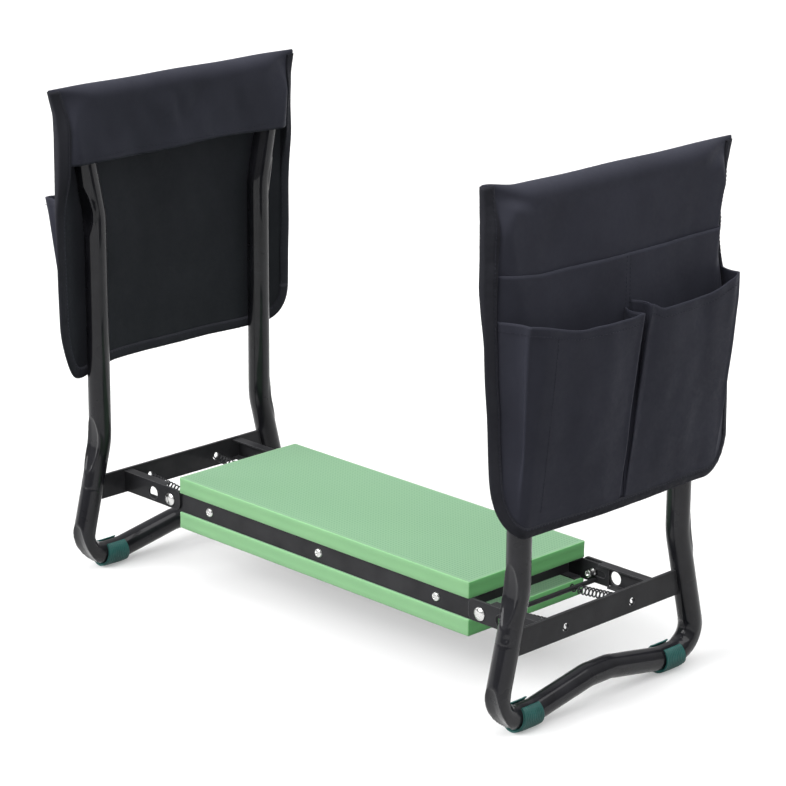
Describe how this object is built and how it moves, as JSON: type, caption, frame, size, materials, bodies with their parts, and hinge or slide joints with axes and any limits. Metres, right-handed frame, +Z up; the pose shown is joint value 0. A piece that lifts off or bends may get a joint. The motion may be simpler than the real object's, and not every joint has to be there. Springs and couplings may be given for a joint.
{
  "type": "garden kneeler seat",
  "caption": "Folding garden kneeler: padded kneeling board hung low between two tubular leg frames that serve as handles, with cloth tool pouches.",
  "frame": {"origin": "on the floor under the middle of the kneeling board", "axes": "+X along the board to the right leg frame, +Y from front to rear, +Z up, in the kneeling position"},
  "size_m": [0.6516, 0.3, 0.487],
  "materials": {
    "green_foam": "matte",
    "board_plastic": "matte",
    "steel_paint": "satin",
    "tube_paint": "gloss",
    "zinc_steel": "satin",
    "spring_steel": "satin",
    "clip_plastic": "matte",
    "pouch_cloth": "matte",
    "binding_tape": "matte"
  },
  "bodies": {
    "seat": {"upper_pad": "green_foam", "lower_pad": "green_foam", "seat_board": "board_plastic", "front_rail": "steel_paint", "rear_rail": "steel_paint", "front_rail_screws": "zinc_steel", "rear_rail_screws": "zinc_steel", "left_end_bar": "steel_paint", "right_end_bar": "steel_paint", "left_anchor_rod": "spring_steel", "right_anchor_rod": "spring_steel"},
    "left_pivot": {"left_pivot_rivets": "zinc_steel", "left_front_spring": "spring_steel", "left_rear_spring": "spring_steel"},
    "left_leg": {"left_handle_tube": "tube_paint", "left_foot_tube": "tube_paint", "left_crossbar": "steel_paint", "left_front_arm": "steel_paint", "left_front_foot": "clip_plastic", "left_rear_arm": "steel_paint", "left_rear_foot": "clip_plastic", "left_pouch_panel": "pouch_cloth", "left_pouch_flap": "pouch_cloth", "left_slim_pocket": "pouch_cloth", "left_front_pocket": "pouch_cloth", "left_rear_pocket": "pouch_cloth", "left_pouch_binding": "binding_tape"},
    "right_pivot": {"right_pivot_rivets": "zinc_steel", "right_front_spring": "spring_steel", "right_rear_spring": "spring_steel"},
    "right_leg": {"right_handle_tube": "tube_paint", "right_foot_tube": "tube_paint", "right_crossbar": "steel_paint", "right_front_arm": "steel_paint", "right_front_foot": "clip_plastic", "right_rear_arm": "steel_paint", "right_rear_foot": "clip_plastic", "right_pouch_panel": "pouch_cloth", "right_pouch_flap": "pouch_cloth", "right_slim_pocket": "pouch_cloth", "right_front_pocket": "pouch_cloth", "right_rear_pocket": "pouch_cloth", "right_pouch_binding": "binding_tape"}
  },
  "joints": [
    {"name": "left_pull_out", "type": "slide", "parent": "seat", "child": "left_pivot", "axis": [-1, 0, 0], "range_m": [0, 0.012], "stiffness_N_per_m": 1200, "springref_m": -0.01, "deforming": ["left_front_spring", "left_rear_spring"]},
    {"name": "left_fold", "type": "hinge", "parent": "left_pivot", "child": "left_leg", "pos_m": [-0.209, 0, 0.08075], "axis": [0, 1, 0], "range_deg": [0, 93], "deforming": ["left_front_spring", "left_rear_spring"]},
    {"name": "right_pull_out", "type": "slide", "parent": "seat", "child": "right_pivot", "axis": [1, 0, 0], "range_m": [0, 0.012], "stiffness_N_per_m": 1200, "springref_m": -0.01, "deforming": ["right_front_spring", "right_rear_spring"]},
    {"name": "right_fold", "type": "hinge", "parent": "right_pivot", "child": "right_leg", "pos_m": [0.209, 0, 0.08075], "axis": [0, -1, 0], "range_deg": [0, 70], "deforming": ["right_front_spring", "right_rear_spring"]}
  ]
}
